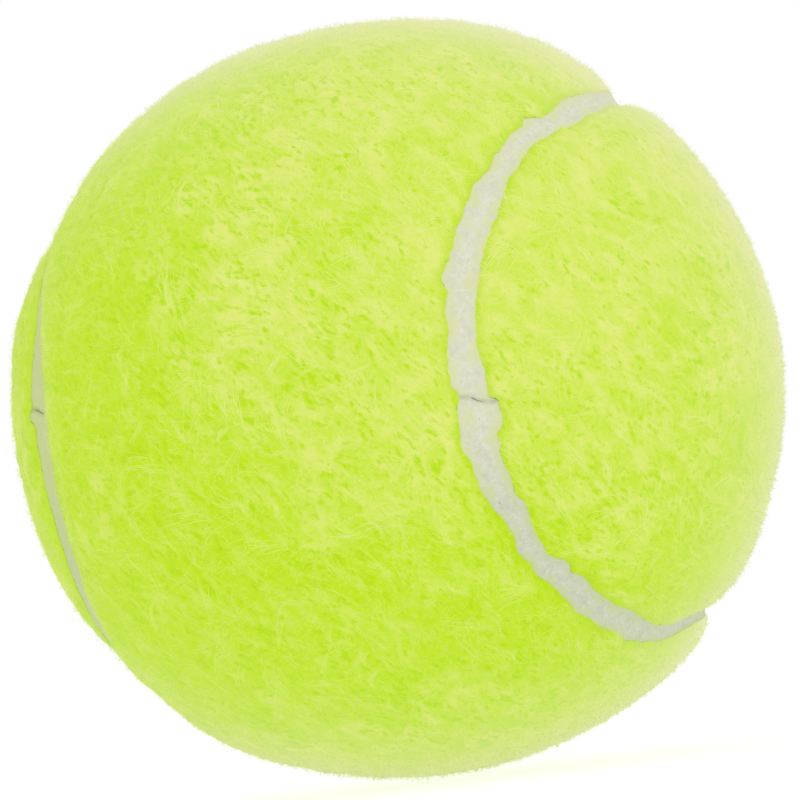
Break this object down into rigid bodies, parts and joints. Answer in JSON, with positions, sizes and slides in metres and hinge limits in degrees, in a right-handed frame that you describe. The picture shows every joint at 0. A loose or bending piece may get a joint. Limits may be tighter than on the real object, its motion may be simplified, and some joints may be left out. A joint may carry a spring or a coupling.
{
  "type": "tennis ball",
  "caption": "Felt-covered hollow rubber ball: a cored rubber sphere wrapped in dumbbell-shaped felt panels that meet along one curved rubber seam.",
  "frame": {"origin": "centre of the ball", "axes": "+Z to the crown of the upper core half, -Y to the waist of the front felt panel, +Y to the waist of the rear felt panel, +X and -X to the rounded ends of the rear panel"},
  "size_m": [0.0668, 0.0668, 0.0668],
  "materials": {
    "core_rubber": "matte",
    "joint_cement": "satin",
    "rubber_solution": "satin",
    "felt_backing": "matte",
    "felt": "matte",
    "seam_rubber": "matte"
  },
  "bodies": {
    "root": {"core_half_upper": "core_rubber", "core_half_lower": "core_rubber", "core_joint_cement": "joint_cement", "core_cement_coat": "rubber_solution", "felt_backing_front": "felt_backing", "felt_backing_rear": "felt_backing", "felt_panel_front": "felt", "felt_panel_rear": "felt", "seam_cement": "seam_rubber"}
  },
  "joints": []
}
